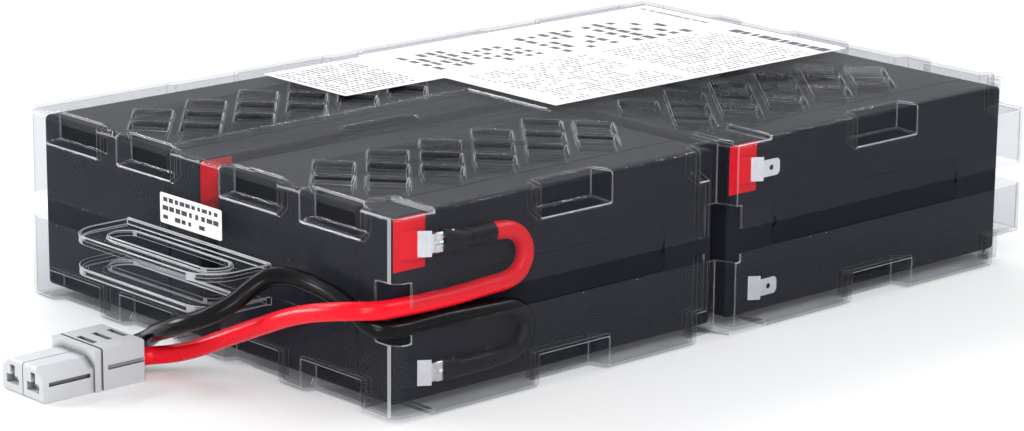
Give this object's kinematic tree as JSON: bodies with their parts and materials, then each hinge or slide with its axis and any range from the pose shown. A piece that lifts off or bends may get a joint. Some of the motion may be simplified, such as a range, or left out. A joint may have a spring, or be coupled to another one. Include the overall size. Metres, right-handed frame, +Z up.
{
  "type": "ups battery cartridge",
  "caption": "Replacement battery pack: sealed batteries side by side in two clear thermoformed half shells with a split handle and a two-pole lead and connector.",
  "frame": {"origin": "middle of the underside of the pack's box, handles included, loose leads and connector left out", "axes": "+X along the pack's long side away from the handles, +Y across it away from the near terminals, +Z up"},
  "size_m": [0.3964, 0.211, 0.0724],
  "materials": {
    "battery_case": "dark grey moulded case, fine texture",
    "battery_lid": "dark grey moulded lid, fine texture",
    "red_collar": "red moulded terminal collar",
    "tab_metal": "tin-plated sheet metal",
    "clear_shell": "clear thermoformed sheet plastic, 1 mm",
    "label_paper": "white film label with plain grey print blocks",
    "boot_plastic": "black insulating boot",
    "red_insulation": "glossy red lead insulation",
    "black_insulation": "glossy black lead insulation",
    "contact_silver": "silver-plated copper contact",
    "connector_plastic": "light grey moulded housing"
  },
  "bodies": {
    "root": {"battery_1_case": "battery_case", "battery_1_lid": "battery_lid", "battery_1_vent_cover": "battery_lid", "battery_1_positive_collar": "red_collar", "battery_1_positive_tab": "tab_metal", "battery_1_negative_tab": "tab_metal", "battery_2_case": "battery_case", "battery_2_lid": "battery_lid", "battery_2_vent_cover": "battery_lid", "battery_2_positive_collar": "red_collar", "battery_2_positive_tab": "tab_metal", "battery_2_negative_tab": "tab_metal", "battery_3_case": "battery_case", "battery_3_lid": "battery_lid", "battery_3_vent_cover": "battery_lid", "battery_3_positive_collar": "red_collar", "battery_3_positive_tab": "tab_metal", "battery_3_negative_tab": "tab_metal", "battery_4_case": "battery_case", "battery_4_lid": "battery_lid", "battery_4_vent_cover": "battery_lid", "battery_4_positive_collar": "red_collar", "battery_4_positive_tab": "tab_metal", "battery_4_negative_tab": "tab_metal", "top_cover": "clear_shell", "bottom_tray": "clear_shell", "top_label": "label_paper", "front_label": "label_paper", "red_receptacle": "tab_metal", "red_boot": "boot_plastic", "red_lead": "red_insulation", "red_contact": "contact_silver", "black_receptacle": "tab_metal", "black_boot": "boot_plastic", "black_lead": "black_insulation", "black_contact": "contact_silver", "connector_housing": "connector_plastic"}
  },
  "joints": []
}
